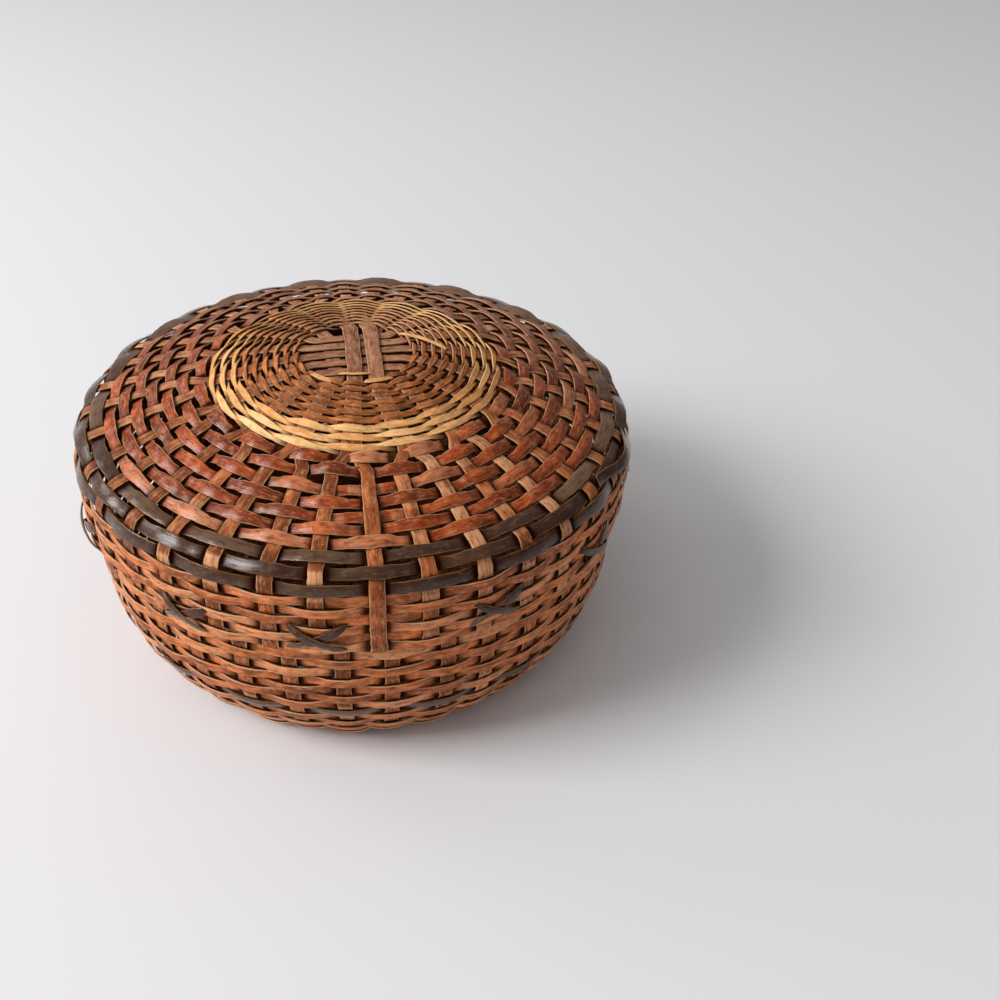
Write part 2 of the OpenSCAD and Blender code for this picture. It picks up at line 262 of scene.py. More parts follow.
def splint_material(title, face, deep, pale, cut, rough, coat, shine):
    """Split wood in thin flat strips. Fibres run along the strip and show as fine streaks, the dye takes
    unevenly, handling leaves pale flecks, and the cut edges are paler than the faces. Shade is painted in
    dark where a splint passes behind a stake and in the corners close to other splints, and the shine is
    taken away there."""
    made = bpy.data.materials.new(title)
    made.use_nodes = True
    tree = made.node_tree
    shader = tree.nodes["Principled BSDF"]
    strip = add(tree, "ShaderNodeUVMap", {"uv_map": "UVMap"})
    tone, edge, worn, recess = [
        add(tree, "ShaderNodeAttribute", {"attribute_name": name}).outputs["Fac"]
        for name in ("tone", "edge", "worn", "recess")
    ]
    # Fibres about 0.3 mm apart and 8 mm long, dye patches about 7 mm by 3 mm, mottling about 2 mm by 1 mm and
    # flecks about 1 mm by 0.3 mm
    noise = {}
    for kind, scale, detail in (
        ("fibres", (120.0, 3200.0, 1.0), 4.0), ("patches", (140.0, 320.0, 1.0), 3.0),
        ("mottle", (480.0, 1100.0, 1.0), 6.0), ("flecks", (900.0, 3000.0, 1.0), 2.0),
    ):
        spread = vector_calc(tree, "MULTIPLY", strip, scale)
        noise[kind] = add(
            tree, "ShaderNodeTexNoise", {"noise_dimensions": "2D"},
            {"Vector": spread, "Scale": 1.0, "Detail": detail, "Roughness": 0.62},
        ).outputs[0]
    # Colours laid over the face one after another, each with what it follows and its largest share
    shares = [
        (ranged(tree, value, low, high, 0.0, most), colour)
        for value, low, high, most, colour in (
            (noise["patches"], 0.36, 0.68, 0.75, deep),
            (worn, 0.0, 1.0, 0.85, FADED),
            (tone, 0.45, 0.0, 0.6, deep),
            (tone, 0.55, 1.0, 0.85, pale),
            (noise["mottle"], 0.5, 0.7, 0.7, deep),
            (noise["mottle"], 0.46, 0.3, 0.5, pale),
            (noise["fibres"], 0.5, 0.74, 0.6, deep),
            (noise["flecks"], 0.6, 0.74, 0.4, pale),
        )
    ]
    broken = ranged(tree, noise["patches"], 0.36, 0.6, 0.3, 1.0)
    shares.append((calc(tree, "MULTIPLY", edge, broken), cut))
    # Painted shade: darkened where a splint passes behind a stake, and in the corners within about 1.5 mm of
    # other splints
    recess_shade_share = ranged(tree, recess, 0.0, 0.9, 0.0, 0.9)
    open_air = add(tree, "ShaderNodeAmbientOcclusion", {"samples": 4}, {"Distance": 1.5 * MM}).outputs["AO"]
    corner = ranged(tree, open_air, 0.78, 0.28, 0.0, 0.93)
    shares += [(recess_shade_share, PAINTED_SHADE), (corner, PAINTED_SHADE)]
    shade = (*face, 1.0)
    for share, colour in shares:
        over = {0: share, 6: shade, 7: (*colour, 1.0)}
        shade = add(tree, "ShaderNodeMix", {"data_type": "RGBA"}, over).outputs[2]
    tree.links.new(shade, shader.inputs["Base Color"])
    gloss = ranged(tree, noise["fibres"], 0.3, 0.7, rough - 0.1, rough + 0.16)
    tree.links.new(gloss.outputs[0], shader.inputs["Roughness"])
    rise = calc(tree, "ADD", noise["fibres"], noise["mottle"])
    relief = add(tree, "ShaderNodeBump", {}, {"Height": rise, "Strength": 0.5, "Distance": 0.08 * MM})
    for socket in ("Normal", "Coat Normal"):
        tree.links.new(relief.outputs[0], shader.inputs[socket])
    # The painted shade also takes the shine away, as if the corners blocked the reflections
    shade_share = calc(tree, "MAXIMUM", recess_shade_share, corner)
    for full, socket in ((shine, "Specular IOR Level"), (coat, "Coat Weight")):
        level = ranged(tree, shade_share, 0.0, 0.9, full, 0.0)
        tree.links.new(level.outputs[0], shader.inputs[socket])
    shader.inputs["IOR"].default_value = 1.5
    shader.inputs["Coat Roughness"].default_value = 0.13
    return made


def flat_splint_tree():
    """Sweeps a thin flat section with rounded edges along the guide points of one splint."""
    tree = bpy.data.node_groups.new("Flat splint", "GeometryNodeTree")
    tree.interface.new_socket("Guide", in_out="INPUT", socket_type="NodeSocketGeometry")
    for name, kind in (
        ("Closed", "Bool"), ("Length", "Float"), ("Thickness", "Float"), ("Wander", "Float"),
        ("Ruffle", "Float"), ("Seed", "Int"), ("Material", "Material"),
    ):
        tree.interface.new_socket(name, in_out="INPUT", socket_type="NodeSocket" + kind)
    tree.interface.new_socket("Splint", in_out="OUTPUT", socket_type="NodeSocketGeometry")
    given = add(tree, "NodeGroupInput").outputs
    counted = add(tree, "GeometryNodeAttributeDomainSize", {}, {"Geometry": given["Guide"]})
    count = counted.outputs["Point Count"]
    # An open splint gets one more section at each end, drawn to a point to close it
    ends = calc(tree, "SUBTRACT", 1.0, given["Closed"])
    last = calc(tree, "ADD", count, ends)
    sections = calc(tree, "ADD", last, 1.0)
    mesh = add(
        tree, "GeometryNodeMeshGrid", {},
        {"Size X": 1.0, "Size Y": 1.0, "Vertices X": sections, "Vertices Y": SECTION_POINTS + 1},
    ).outputs["Mesh"]
    spot = add(tree, "ShaderNodeSeparateXYZ", {}, {0: add(tree, "GeometryNodeInputPosition")})
    run = calc(tree, "ADD", spot.outputs[0], 0.5)
    step = calc(tree, "ROUND", calc(tree, "MULTIPLY", run, last))
    step = calc(tree, "SUBTRACT", step, ends)
    wrapped = calc(tree, "FLOORED_MODULO", step, count)
    held = add(tree, "ShaderNodeClamp", {}, {"Value": step, "Min": 0.0, "Max": 100000.0})
    index = add(
        tree, "GeometryNodeSwitch", {"input_type": "FLOAT"},
        {"Switch": given["Closed"], "False": held, "True": wrapped},
    )
    top = calc(tree, "ADD", calc(tree, "SUBTRACT", count, ends), 0.5)
    before = calc(tree, "GREATER_THAN", step, -0.5)
    after = calc(tree, "LESS_THAN", step, top)
    full = calc(tree, "MULTIPLY", before, after)
    sampled = {}
    for name, kind in (
        ("place", "FLOAT_VECTOR"), ("out", "FLOAT_VECTOR"), ("side", "FLOAT_VECTOR"), ("wide", "FLOAT"),
        ("tone", "FLOAT"), ("worn", "FLOAT"), ("recess", "FLOAT"),
    ):
        if name == "place":
            value = add(tree, "GeometryNodeInputPosition")
        else:
            value = add(tree, "GeometryNodeInputNamedAttribute", {"data_type": kind}, {"Name": name})
        sampled[name] = add(
            tree, "GeometryNodeSampleIndex", {"data_type": kind, "clamp": True},
            {"Geometry": given["Guide"], "Value": value, "Index": index},
        )
    # Rounded rectangle round the section
    turn = calc(tree, "MULTIPLY_ADD", spot.outputs[1], math.tau, math.pi / SECTION_POINTS)
    waves, squared = {}, {}
    for wave, power in (("COSINE", 0.15), ("SINE", 0.5)):
        waves[wave] = calc(tree, wave, turn)
        size = calc(tree, "POWER", calc(tree, "ABSOLUTE", waves[wave]), power)
        squared[wave] = calc(tree, "MULTIPLY", size, calc(tree, "SIGN", waves[wave]))
    across, up = squared["COSINE"], squared["SINE"]
    # Slow unevenness of a splint worked by hand: it strays about every 6 mm
    shifted = add(tree, "ShaderNodeCombineXYZ", {}, {2: given["Seed"]})
    place = vector_calc(tree, "MULTIPLY_ADD", sampled["place"], (160.0,) * 3, shifted)
    uneven = add(
        tree, "ShaderNodeTexNoise", {"noise_dimensions": "3D"}, {"Vector": place, "Scale": 1.0, "Detail": 1.0}
    ).outputs["Color"]
    uneven = vector_calc(tree, "SUBTRACT", uneven, (0.5, 0.5, 0.5))
    uneven = add(tree, "ShaderNodeSeparateXYZ", {}, {0: uneven}).outputs
    strayed = calc(tree, "MULTIPLY", calc(tree, "MULTIPLY", uneven[0], given["Wander"]), 2.0)
    raised = calc(tree, "MULTIPLY", uneven[1], given["Ruffle"])
    tipped = calc(tree, "MULTIPLY", calc(tree, "MULTIPLY", uneven[2], given["Ruffle"]), across)
    breadth = calc(tree, "MULTIPLY_ADD", uneven[2], 0.22, 1.0)
    # Ragged edges where fibres have torn, about every millimetre, other on each edge
    shifted = add(tree, "ShaderNodeCombineXYZ", {}, {0: across, 2: given["Seed"]})
    place = vector_calc(tree, "MULTIPLY_ADD", sampled["place"], (900.0,) * 3, shifted)
    torn = add(
        tree, "ShaderNodeTexNoise", {"noise_dimensions": "3D"}, {"Vector": place, "Scale": 1.0, "Detail": 2.0}
    ).outputs[0]
    torn = calc(tree, "SUBTRACT", torn, 0.5)
    breadth = calc(tree, "MULTIPLY_ADD", torn, 0.34, breadth)
    breadth = calc(tree, "MULTIPLY", breadth, sampled["wide"])
    half = calc(tree, "MULTIPLY", calc(tree, "MULTIPLY", breadth, across), 0.5)
    sideways = calc(tree, "MULTIPLY_ADD", half, full, strayed)
    thick = calc(tree, "MULTIPLY", up, given["Thickness"])
    thick = calc(tree, "MULTIPLY_ADD", thick, 0.5, tipped)
    outwards = calc(tree, "MULTIPLY_ADD", thick, full, raised)
    point = sampled["place"]
    for way, far in (("side", sideways), ("out", outwards)):
        moved = add(tree, "ShaderNodeVectorMath", {"operation": "SCALE"}, {0: sampled[way], "Scale": far})
        point = vector_calc(tree, "ADD", moved, point)
    # Strip coordinates in metres: along the splint and across it
    far = calc(tree, "MULTIPLY", run, given["Length"])
    far = calc(tree, "MULTIPLY_ADD", given["Seed"], 0.731, far)
    strip = add(tree, "ShaderNodeCombineXYZ", {}, {0: far, 1: half})
    rim = calc(tree, "GREATER_THAN", calc(tree, "ABSOLUTE", waves["COSINE"]), 0.7)
    # Painted shade: the outward face is darkened behind a stake, and the inward face is darkened all along
    hollow = add(
        tree, "GeometryNodeSwitch", {"input_type": "FLOAT"},
        {"Switch": calc(tree, "GREATER_THAN", up, 0.0), "False": 0.4, "True": sampled["recess"]},
    )
    for name, kind, domain, value in (
        ("UVMap", "FLOAT2", "CORNER", strip), ("edge", "FLOAT", "POINT", rim),
        ("tone", "FLOAT", "POINT", sampled["tone"]), ("worn", "FLOAT", "POINT", sampled["worn"]),
        ("recess", "FLOAT", "POINT", hollow),
    ):
        mesh = add(
            tree, "GeometryNodeStoreNamedAttribute", {"data_type": kind, "domain": domain},
            {"Geometry": mesh, "Name": name, "Value": value},
        ).outputs[0]
    for kind, inputs in (
        ("SetPosition", {"Position": point}), ("MergeByDistance", {"Distance": 0.0005 * MM}),
        ("RealizeInstances", {}), ("SetMaterial", {"Material": given["Material"]}),
    ):
        mesh = add(tree, "GeometryNode" + kind, {}, {"Geometry": mesh, **inputs}).outputs[0]
    add(tree, "NodeGroupOutput", {}, {"Splint": mesh})
    return tree


class Guide:
    """Line that one splint follows: points, ways out of the weave, widths and tones."""

    def __init__(self, closed=False, wander=1.0, ruffle=1.0):
        self.closed = closed
        self.wander = wander
        self.ruffle = ruffle
        self.points, self.outs, self.widths, self.tones, self.wear, self.recess_shades = [], [], [], [], [], []

    def put(self, point, out, width, tone, worn=0.0, recess=0.0):
        self.points.append(Vector(point))
        self.outs.append(Vector(out))
        self.widths.append(width)
        self.tones.append(tone)
        self.wear.append(worn)
        self.recess_shades.append(recess)

    def frames(self):
        """Ways out square to the line, and ways across it."""
        outs, sides = [], []
        n = len(self.points)
        for i in range(n):
            if self.closed:
                run = self.points[(i + 1) % n] - self.points[i - 1]
            else:
                run = self.points[min(i + 1, n - 1)] - self.points[max(i - 1, 0)]
            run.normalize()
            out = (self.outs[i] - run * self.outs[i].dot(run)).normalized()
            outs.append(out)
            sides.append(out.cross(run))
        return outs, sides

    def length(self):
        n = len(self.points)
        starts = range(n if self.closed else n - 1)
        return sum((self.points[(i + 1) % n] - self.points[i]).length for i in starts)


def numbered(kind):
    """Row nodes of one kind, from the hub outwards."""
    found = [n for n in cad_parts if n.startswith(kind + "_") and n[len(kind) + 1 :].isdigit()]
    return sorted(found, key=lambda n: int(n.rsplit("_", 1)[1]))


def row_middle(node):
    """Radius and height of the middle of a row, from its solid."""
    reach = [math.hypot(v.co.x, v.co.y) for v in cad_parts[node].data.vertices]
    height = [v.co.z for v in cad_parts[node].data.vertices]
    return Vector(((min(reach) + max(reach)) / 2, (min(height) + max(height)) / 2))


def round_place(flat, angle):
    """Point at a radius and height, turned about the basket's axis."""
    return Vector((flat[0] * math.cos(angle), flat[0] * math.sin(angle), flat[1]))


def smooth(t):
    """Eased step from 0 to 1."""
    t = min(max(t, 0.0), 1.0)
    return t * t * (3 - 2 * t)


def curve_through(points, parts):
    """Points of a smooth line through the given ones."""
    line = []
    for i in range(len(points) - 1):
        a, b = points[max(i - 1, 0)], points[i]
        c, d = points[i + 1], points[min(i + 2, len(points) - 1)]
        for k in range(parts):
            t = k / parts
            line.append(
                0.5
                * (2 * b + (c - a) * t + (2 * a - 5 * b + 4 * c - d) * t * t + (3 * b - a - 3 * c + d) * t**3)
            )
    line.append(points[-1])
    return line


class Weave:
    """One woven half of the basket: its rows from the hub to the edge and where its stakes stand."""

    def __init__(self, body, spoke_kinds, stake_kinds, stakes_node, facing, turn):
        self.body = body
        self.facing = facing
        self.turn = math.radians(turn)
        self.spoke_rows = [n for kind in spoke_kinds for n in numbered(kind)]
        self.stake_rows = [n for kind in stake_kinds for n in numbered(kind)]
        self.rows = self.spoke_rows + self.stake_rows
        self.middles = [row_middle(n) for n in self.rows]
        low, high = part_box(stakes_node)
        self.edge = Vector((self.middles[-1][0], low.z if facing > 0 else high.z))
        hub_z = high.z - 0.2 * MM if facing > 0 else self.middles[0][1] + 0.1 * MM
        self.line = [Vector((0.0, hub_z)), Vector((HUB_REACH, hub_z))] + self.middles + [self.edge]
        self.chance = random.Random(f"{body} {basket_settings().seed}")
        stray = basket_settings().stray
        even = [self.turn + (i + 0.5) * STAKE_STEP for i in range(STAKES)]
        self.angles = [a + self.chance.uniform(-stray, stray) for a in even]
        self.angles.append(self.angles[0] + math.tau)

    def place(self, index):
        """Middle of a row, the way along the wall there and the way out of it."""
        here = index + 2
        along = (self.line[here + 1] - self.line[here - 1]).normalized()
        return self.middles[index], along, self.facing * Vector((-along[1], along[0]))

    def width(self, index):
        """Width of a row that fills the room between its neighbours."""
        here = index + 2
        before = (self.line[here] - self.line[here - 1]).length
        after = (self.line[here + 1] - self.line[here]).length
        kind = self.rows[index].rsplit("_", 1)[0]
        near = [
            gap for gap, other in ((before, index - 1), (after, index + 1))
            if 0 <= other < len(self.rows) and self.rows[other].rsplit("_", 1)[0] == kind
        ]
        return (min(near) if near else min(before, after)) - basket_settings().row_gap

    def stands_out(self, index, stake):
        """True where the lid's one loose stake at the front lies outside the rows that should cross it."""
        kind, number = self.rows[index].rsplit("_", 1)
        free = kind == "lid_side_row" or kind == "lid_top_row" and 3 <= int(number) <= 6
        return stake == LOOSE_STAKE and free

    def sign(self, index, stake):
        """1 where a plain row passes outside a stake, and -1 inside."""
        if self.stands_out(index, stake % STAKES):
            return -1
        on_spokes = index < len(self.spoke_rows)
        number = index + 1 if on_spokes else index - len(self.spoke_rows) + 1
        return 1 if (stake + number) % 2 == 1 else -1

    def plain_row(
        self, index, shift=0.0, lift=1.0, fill=1.0, tone=None, faded=0.0, inside=0.3, calm=0.0, snug=0.0,
        lean=0.0, dip=0.0, leaf=0.0, deepen=0.0, steps=10,
    ):
        """Guide of a row that passes outside and inside of the stakes in turn. At the back of the basket it
        can fade, lie calmer, sit closer to its neighbours and dip towards the hub. Its floats can be shaped
        like long leaves, and its tone can be painted darker on the left, as shade against the window's light
        there."""
        middle, along, out = self.place(index)
        if index < len(self.spoke_rows):
            angles = [self.turn + k * SPOKE_STEP for k in range(SPOKES + 1)]
        else:
            angles = self.angles
        count = len(angles) - 1
        guide = Guide(closed=True)
        width = self.width(index) * fill
        tone = self.chance.uniform(0.2, 0.7) if tone is None else tone
        tones = [tone + self.chance.uniform(-0.42, 0.42) for _ in range(count)]
        signs = [self.sign(index, i) for i in range(count)]
        loose = LOOSE_ROWS.get(self.rows[index], 0.0)
        for i in range(count):
            height = lift * self.chance.uniform(0.85, 1.2) * (1 - calm * max(0.0, math.sin(angles[i])))
            for j in range(steps):
                t = j / steps - 0.5
                beside = (i + 1) % count if t > 0 else i - 1
                if t > 0:
                    gap = angles[i + 1] - angles[i]
                else:
                    gap = angles[i] - angles[i - 1] if i else angles[-1] - angles[-2]
                angle = angles[i] + gap * t
                swing = math.cos(math.pi * t)
                turns = signs[beside] != signs[i]
                # A float is broad, and the dip behind a stake is short
                if not turns:
                    swing = signs[i] * (0.4 + 0.6 * swing * swing)
                else:
                    swing = swing * 1.5 / (1 + 0.5 * swing) if signs[i] > 0 else -(swing**1.7)
                # Painted shade where the row turns in behind a stake
                recess = 1 - smooth((abs(t) - 0.21) / 0.14) if signs[i] < 0 and turns else 0.0
                apart = math.remainder(angle - LOOSE_ANGLE, math.tau) / LOOSE_SPREAD
                behind = 0.5 + 0.5 * math.sin(angle)
                tilt = lean * (1 - 0.65 * behind) - dip * behind
                taper = leaf * (1 - behind)
                shape = 0.95 - taper + ((0.05 + 1.35 * taper) if swing > 0 else -inside) * swing
                slid = along * (shift + loose * math.exp(-apart * apart))
                flat = middle + slid + out * swing * basket_settings().lift * height
                way = out * math.cos(tilt) + along * math.sin(tilt)
                # Painted shade: the tone is darkened on the left, against the window's light
                guide.put(
                    round_place(flat, angle), round_place(way, angle), width * (1 + snug * behind) * shape,
                    tones[i if signs[i] > 0 else beside] - deepen * max(0.0, -math.cos(angle)),
                    faded * (0.5 - 0.5 * math.cos(angle - DYED_ANGLE)) ** 2, recess,
                )
        return guide

    def twined_pair(self, index, width, lit_tone_swing=0.0, shift=0.0, steps=12):
        """Guides of two weavers that cross between the spokes, so that one lies outside every spoke."""
        middle, along, out = self.place(index)
        middle = middle + along * shift
        lean = 0.34
        way = out * math.cos(lean) + along * math.sin(lean)
        guides = []
        tone = self.chance.uniform(0.35, 0.6)
        for half in (0, 1):
            guide = Guide(closed=True)
            for i in range(SPOKES):
                float_tone = tone + self.chance.uniform(-0.32, 0.32)
                height = self.chance.uniform(0.85, 1.25)
                for j in range(steps):
                    k = i + j / steps - 0.5
                    angle = self.turn + k * SPOKE_STEP
                    swing = math.cos(math.pi * (k + half))
                    pass_by = math.sin(math.pi * (k + half)) * 0.3 * MM
                    flat = middle + out * swing * basket_settings().lift * height + along * pass_by
                    behind = 0.5 + 0.5 * math.sin(angle)
                    shape = 0.5 + 0.5 * swing if swing > 0 else 0.5 - 0.9 * swing
                    # Painted light: the tone swings with the angle, partly standing in for the window's
                    # light, and a strand is painted darker where it dips behind a spoke
                    guide.put(
                        round_place(flat, angle), round_place(way, angle), width * (1 - 0.4 * behind) * shape,
                        float_tone + lit_tone_swing * math.cos(angle - PALE_ANGLE), 0.0, max(0.0, -swing),
                    )
            guides.append(guide)
        return guides

    def height_at(self, radius):
        """Height of the weave's middle at a radius between the hub and the fork."""
        for a, b in zip(self.line, self.line[1:]):
            if a[0] <= radius <= b[0]:
                return a[1] + (b[1] - a[1]) * (radius - a[0]) / (b[0] - a[0])
        return self.line[len(self.spoke_rows) + 1][1]

    def hub_stake(self, place, across, level, aside, width):
        """Guide of one stake over the hub, from fork to fork, lying beside the hub's middle."""
        turn = place * SPOKE_STEP
        base = self.turn + (math.pi / 2 if across else 0.0)
        bend = 8.4 * MM if place == 0 else abs(aside / math.tan(turn))
        start = bend if place == 0 else abs(aside / math.sin(turn))
        fork = self.line[len(self.spoke_rows) + 1][0] + 1.6 * MM
        inner_steps, outer_steps = 5, 12
        flat = [Vector((bend * k / inner_steps, aside)) for k in range(inner_steps + 1)]
        ahead = Vector((math.cos(turn), math.sin(turn)))
        flat += [ahead * (start + (fork - start) * k / outer_steps) for k in range(1, outer_steps + 1)]
        guide = Guide()
        tone = self.chance.uniform(0.2, 0.7)
        for p in [Vector((-p[0], p[1])) for p in reversed(flat[1:])] + flat:
            radius = p.length
            rise = level * 0.5 * MM * (1 - smooth((radius - HUB_REACH) / (2.6 * MM)))
            if level > 0 and self.facing > 0:
                # The upper pair has slipped a little to the right and turned
                slip = 1 - smooth((radius - 8 * MM) / (9 * MM))
                p = Matrix.Rotation(math.radians(-5) * slip, 2) @ p - Vector((0.0, 1.3 * MM * slip))
            spot = Matrix.Rotation(base, 2) @ p
            narrow = 1 - smooth((radius - HUB_REACH) / (17 * MM))
            guide.put(
                (spot[0], spot[1], self.height_at(radius) + rise), (0, 0, self.facing),
                FORK_WIDTH - (FORK_WIDTH - width) * narrow, tone,
                0.95 - 0.75 * smooth((radius - 12 * MM) / (12 * MM)),
            )
        return guide

    def fork_stake(self, stake):
        """Guide of one half of a forked spoke, from the fork to the edge."""
        spoke = self.turn + (stake + 1) // 2 * SPOKE_STEP
        lean = 1 if stake % 2 == 0 else -1
        first = len(self.spoke_rows)
        fork = self.middles[first - 1][0] + 1.0 * MM
        line, outs = [], []
        for index in range(first - 2, len(self.rows)):
            middle, _, out = self.place(index)
            wave = 0.0 if index < first else -self.sign(index, stake) * basket_settings().stake_wave
            wave *= 4.5 if self.stands_out(index, stake) else 1
            line.append(middle + out * wave)
            outs.append(out)
        line.append(self.edge)
        outs.append(outs[-1])
        line, outs = curve_through(line, STAKE_PARTS), curve_through(outs, STAKE_PARTS)
        guide = Guide(wander=0.6, ruffle=0.5)
        tone = self.chance.uniform(0.0, 0.7)
        for k, (flat, out) in enumerate(zip(line, outs)):
            # The halves part over the first six rows
            opening = smooth((flat[0] - fork) / (4.5 * MM)) if k < 6 * STAKE_PARTS else 1.0
            start = spoke + lean * 0.85 * MM / flat[0]
            angle = start + (self.angles[stake] - start) * opening
            width = (1.7 + 0.5 * opening + 0.6 * k / len(line)) * MM
            if k % STAKE_PARTS == 0:
                patch = tone + self.chance.uniform(-0.3, 0.35)
                # The lid's stakes are worn bare on the right of the front
                if self.facing > 0:
                    patch += 0.5 * max(0.0, math.cos(2.5 * math.remainder(angle - BARE_ANGLE, math.tau)))
                if (stake, k // STAKE_PARTS) in BARE_SPOTS:
                    patch = 1.0
                if self.facing > 0 and stake == LOOSE_STAKE:
                    patch = 0.4
            worn = 0.3 - 0.3 * math.cos(angle - FRESH_ANGLE)
            guide.put(round_place(flat, angle), round_place(out, angle), width, patch, worn)
        return guide


def basket_settings():
    """Sizes of the splints, as the panel has them."""
    return bpy.context.scene.splint_sizes


def mixed(a, b, share):
    """Colour between two others."""
    return tuple(x + (y - x) * share for x, y in zip(a, b))


def make_splints(name, guides, thickness, material, body, nodes):
    """Sweeps the guides into flat splints, joins them into one piece and puts it on its body."""
    tree = bpy.data.node_groups.get("Flat splint") or flat_splint_tree()
    sockets = {s.name: s.identifier for s in tree.interface.items_tree if s.in_out == "INPUT"}
    sizes = basket_settings()
    joined = bmesh.new()
    for number, guide in enumerate(guides):
        outs, sides = guide.frames()
        mesh = bpy.data.meshes.new("guide")
        mesh.from_pydata(guide.points, [], [])
        for title, kind, field, values in (
            ("out", "FLOAT_VECTOR", "vector", [c for v in outs for c in v]),
            ("side", "FLOAT_VECTOR", "vector", [c for v in sides for c in v]),
            ("wide", "FLOAT", "value", guide.widths),
            ("tone", "FLOAT", "value", guide.tones),
            ("worn", "FLOAT", "value", guide.wear),
            ("recess", "FLOAT", "value", guide.recess_shades),
        ):
            mesh.attributes.new(title, kind, "POINT").data.foreach_set(field, values)
        line = bpy.data.objects.new("guide", mesh)
        bpy.context.scene.collection.objects.link(line)
        sweep = line.modifiers.new("Flat splint", "NODES")
        sweep.node_group = tree
        for title, value in (
            ("Closed", guide.closed), ("Length", guide.length()), ("Thickness", thickness),
            ("Wander", sizes.wander * guide.wander), ("Ruffle", sizes.ruffle * guide.ruffle),
            ("Seed", (sum(map(ord, name)) * 13 + number * 7) % 997), ("Material", material),
        ):
            sweep[sockets[title]] = value
        graph = bpy.context.evaluated_depsgraph_get()
        swept = bpy.data.meshes.new_from_object(line.evaluated_get(graph))
        joined.from_mesh(swept)
        bpy.data.objects.remove(line)
        bpy.data.meshes.remove(mesh)
        bpy.data.meshes.remove(swept)
    if not joined.faces:
        raise RuntimeError(f"no splints were made for {name}")
    bmesh.ops.recalc_face_normals(joined, faces=joined.faces)
    for face in joined.faces:
        face.smooth = True
    mesh = bpy.data.meshes.new(name)
    joined.to_mesh(mesh)
    joined.free()
    mesh.materials.clear()
    mesh.materials.append(material)
    mesh.set_sharp_from_angle(angle=math.radians(35))
    piece = bpy.data.objects.new(name, mesh)
    bpy.context.scene.collection.objects.link(piece)
    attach(piece, body)
    if nodes:
        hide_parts(*nodes)


def lid_weave():
    """The lid's rows and stakes, from its hub down to its edge."""
    return Weave(
        "lid", ("lid_hub_row", "lid_tan_row"), ("lid_top_row", "lid_dark_row", "lid_side_row"),
        "lid_cross_stakes", 1, 16.0,
    )


def basket_weave():
    """The basket's rows and stakes, from its base up to its rim."""
    return Weave(
        "basket", ("base_inner_row",), ("base_outer_row", "wall_row", "neck_row"),
        "base_cross_stakes", -1, 19.0,
    )


def dyed_splint(kind):
    """Material of one kind of splint, made at its first use."""
    finish = {**PLAIN_FINISH, **FINISHES[kind]}
    if finish["title"] in bpy.data.materials:
        return bpy.data.materials[finish["title"]]
    dye = tuple(getattr(bpy.context.scene.splint_dyes, kind))
    deep = mixed(tuple(c * finish["deep"] for c in dye), STAIN, finish["stain"])
    pale = mixed(dye, linear(finish["bare"]), finish["pale"])
    cut = mixed(dye, linear(finish["cut"]), 0.7)
    return splint_material(
        finish["title"], dye, deep, pale, cut, finish["rough"], finish["coat"], finish["shine"]
    )


def weave_rows(weave, nodes, material, slot, shifts=(), **manner):
    """Weaves plain rows, each in place of its node."""
    for number, node in enumerate(nodes):
        shift = shifts[number] if number < len(shifts) else 0.0
        guide = weave.plain_row(weave.rows.index(node), shift, **manner)
        make_splints(
            node + "_splint", [guide], basket_settings().weaver_thickness, material, weave.body, [node]
        )


def twine_rows(weave, nodes, material, width, lit_tone_swing):
    """Twines rows of two weavers, each pair in place of its node."""
    for node in nodes:
        index = weave.rows.index(node)
        guides = weave.twined_pair(index, width, lit_tone_swing)
        if index == 0:
            # The first turn is loose, and its inner strands lie close to the hub
            guides += weave.twined_pair(index, width * 0.8, lit_tone_swing, -1.7 * MM)
        make_splints(
            node + "_splint", guides, basket_settings().weaver_thickness, material, weave.body, [node]
        )


def lay_stakes(weave, prefix):
    """Lays the stakes over the hub in their three layers and forks them out to the edge."""
    material = dyed_splint("stake")
    pitch = 2.9 * MM
    cross = [(place, place * pitch + weave.chance.uniform(-0.45, 0.45) * MM) for place in (-2, -1, 0, 1, 2)]
    # Name, places over the hub, whether the layer lies across the first one, level and width at the hub
    layers = (
        ("cross", cross, False, 0, 1.95 * MM),
        ("over", [(place, place * 3.7 * MM) for place in (-0.5, 0.5)], True, 1, 2.8 * MM),
        ("under", [(place, place * pitch) for place in (-1.5, 1.5)], True, -1, 2.5 * MM),
    )
    for layer, places, across, level, width in layers:
        guides = [weave.hub_stake(place, across, level, aside, width) for place, aside in places]
        for place, _ in places:
            for spoke in (place, SPOKES / 2 - place):
                spoke = round(spoke + (SPOKES / 4 if across else 0)) % SPOKES
                guides += [weave.fork_stake((2 * spoke - 1) % STAKES), weave.fork_stake(2 * spoke)]
        node = f"{prefix}_{layer}_stakes"
        make_splints(
            node + "_splint", guides, basket_settings().stake_thickness, material, weave.body,
            [node],
        )


class SPLINT_OT_lid_stakes(bpy.types.Operator):
    """Lays the lid's stakes over the hub and forks them down to the edge"""

    bl_idname = "splint.lid_stakes"
    bl_label = "Lid Stakes"

    def execute(self, context):
        lay_stakes(lid_weave(), "lid")
        return {"FINISHED"}


